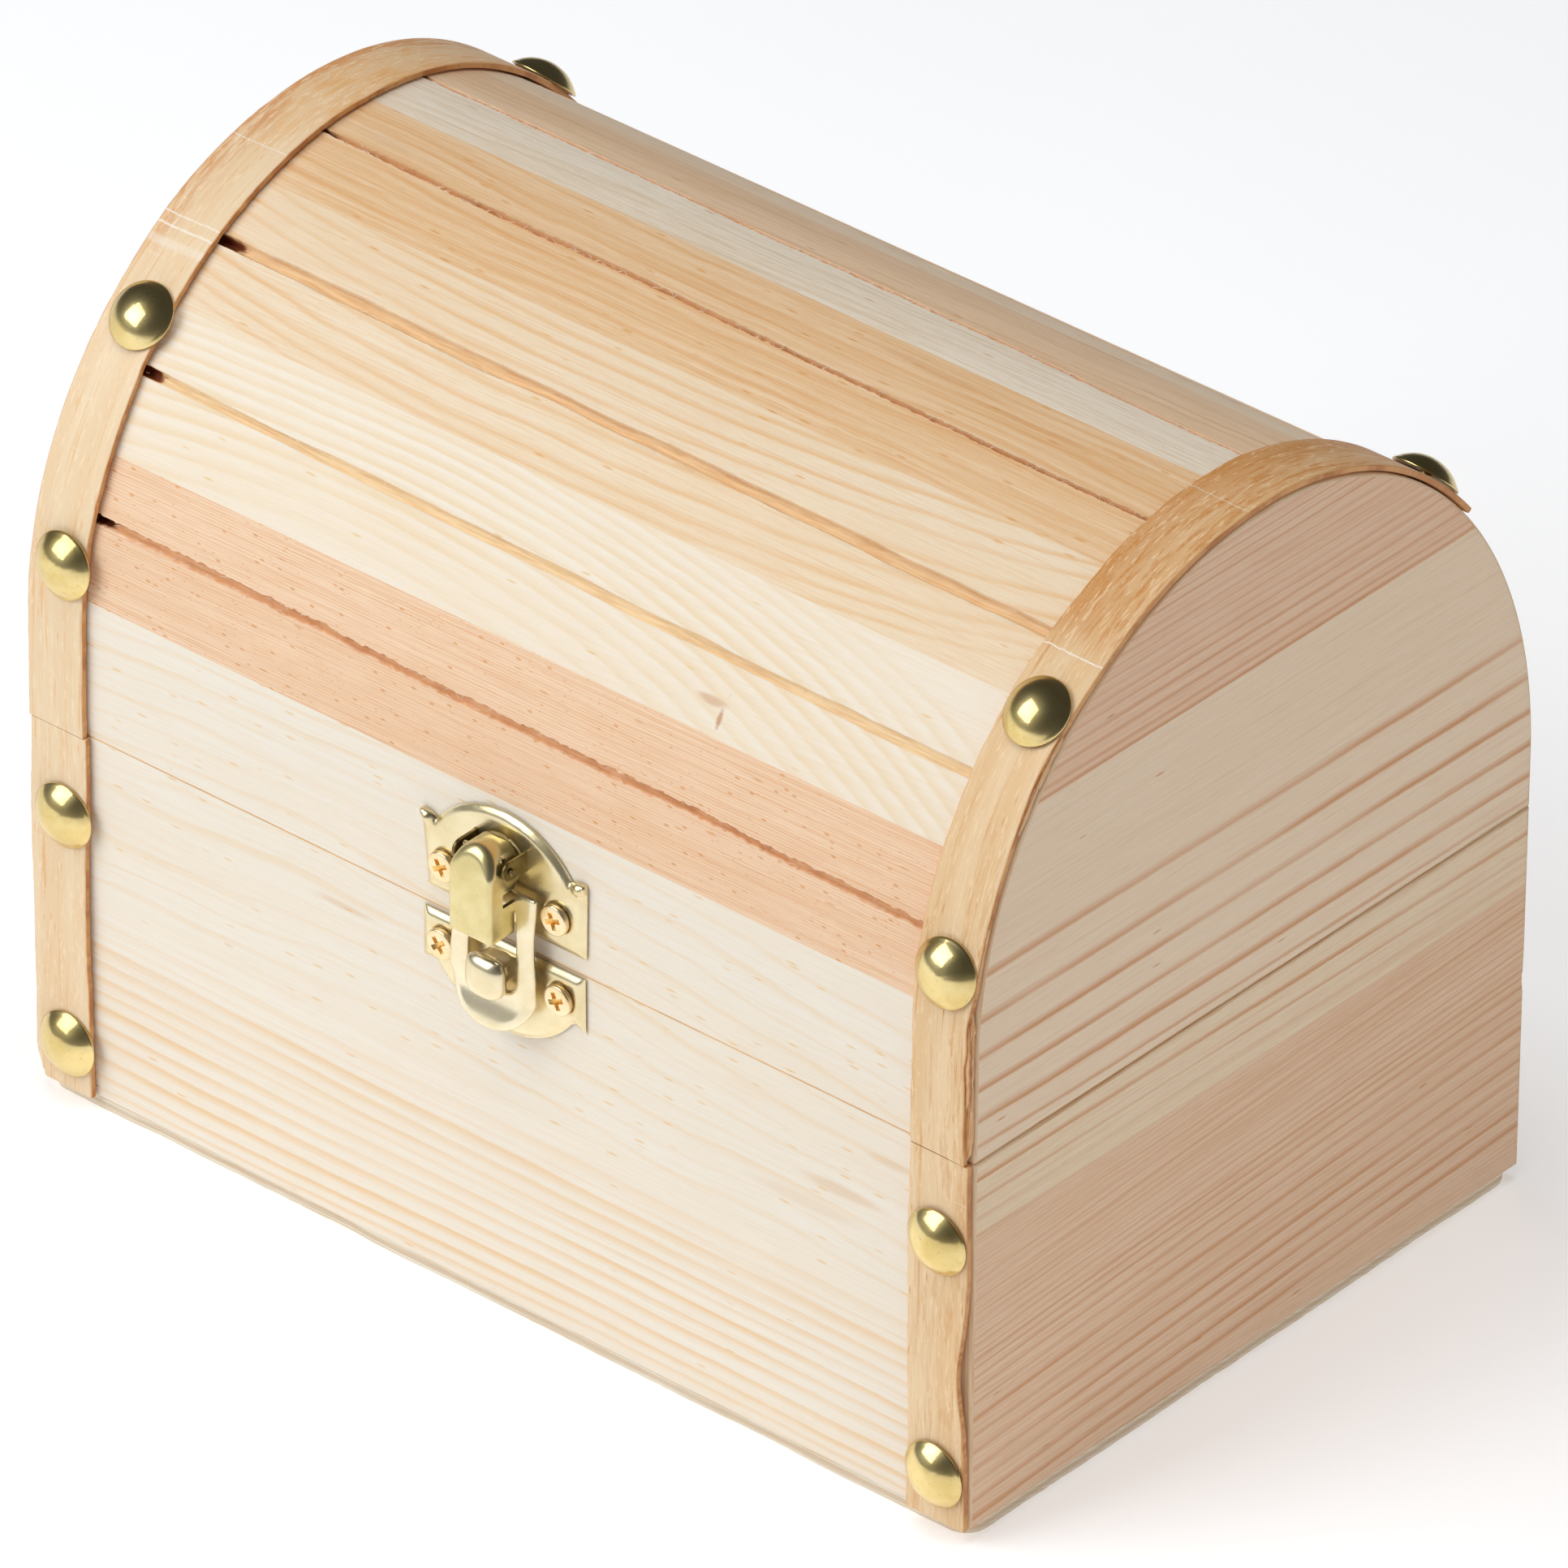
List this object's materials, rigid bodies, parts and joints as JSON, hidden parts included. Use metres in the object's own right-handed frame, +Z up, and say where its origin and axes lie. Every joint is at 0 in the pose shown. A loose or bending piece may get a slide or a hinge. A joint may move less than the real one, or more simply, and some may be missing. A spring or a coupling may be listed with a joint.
{
  "type": "wooden money box",
  "caption": "Small pine chest with a domed slatted lid, veneer corner bands with domed nails, hinged at the back and held shut by a brass lever latch.",
  "frame": {"origin": "on the surface the box stands on, below the middle of its bounding box", "axes": "+Z up, -Y out of the front where the latch is, +X along the length to the right seen from the front"},
  "size_m": [0.16, 0.1215, 0.1301],
  "materials": {
    "pine": "bare sanded pine, edge-glued strips",
    "veneer": "bare thin veneer strip",
    "plywood": "bare thin board",
    "brass": "bright brass-plated pressed steel",
    "fastener": "brass-plated steel"
  },
  "bodies": {
    "base": {"band_base_left": "veneer", "band_base_right": "veneer", "base_back_wall": "pine", "base_bottom": "plywood", "base_front_wall": "pine", "base_left_end": "pine", "base_right_end": "pine", "hinge_base_leaf_left": "brass", "hinge_base_leaf_right": "brass", "hinge_base_screw_left_inner": "fastener", "hinge_base_screw_left_outer": "fastener", "hinge_base_screw_right_inner": "fastener", "hinge_base_screw_right_outer": "fastener", "hinge_pin_left": "fastener", "hinge_pin_right": "fastener", "latch_keeper_plate": "brass", "latch_keeper_screw_left": "fastener", "latch_keeper_screw_right": "fastener", "nail_base_left_lower": "brass", "nail_base_left_upper": "brass", "nail_base_right_lower": "brass", "nail_base_right_upper": "brass"},
    "lid": {"band_lid_left": "veneer", "band_lid_right": "veneer", "hinge_lid_leaf_left": "brass", "hinge_lid_leaf_right": "brass", "hinge_lid_screw_left_inner": "fastener", "hinge_lid_screw_left_outer": "fastener", "hinge_lid_screw_right_inner": "fastener", "hinge_lid_screw_right_outer": "fastener", "latch_upper_plate": "brass", "latch_upper_screw_left": "fastener", "latch_upper_screw_right": "fastener", "lever_rivet_left": "fastener", "lever_rivet_right": "fastener", "lid_left_end": "pine", "lid_panel": "pine", "lid_right_end": "pine", "nail_lid_left_front": "brass", "nail_lid_left_middle": "brass", "nail_lid_left_rear": "brass", "nail_lid_right_front": "brass", "nail_lid_right_middle": "brass", "nail_lid_right_rear": "brass"},
    "latch_lever": {"latch_lever": "brass"},
    "latch_bail": {"latch_bail": "brass"}
  },
  "joints": [
    {"name": "lid_hinge", "type": "hinge", "parent": "base", "child": "lid", "pos_m": [0, 0.05903, 0.0579], "axis": [-1, 0, 0], "range_deg": [0, 110]},
    {"name": "latch_lever", "type": "hinge", "parent": "lid", "child": "latch_lever", "pos_m": [0.0017, -0.05757, 0.0719], "axis": [-1, 0, 0], "range_deg": [0, 140]},
    {"name": "latch_bail", "type": "hinge", "parent": "latch_lever", "child": "latch_bail", "pos_m": [0.0017, -0.05772, 0.07309], "axis": [-1, 0, 0], "range_deg": [-131.6, 0]}
  ],
  "couplings": [
    {"joint": "latch_bail", "follows": "latch_lever", "ratio": -0.94}
  ]
}
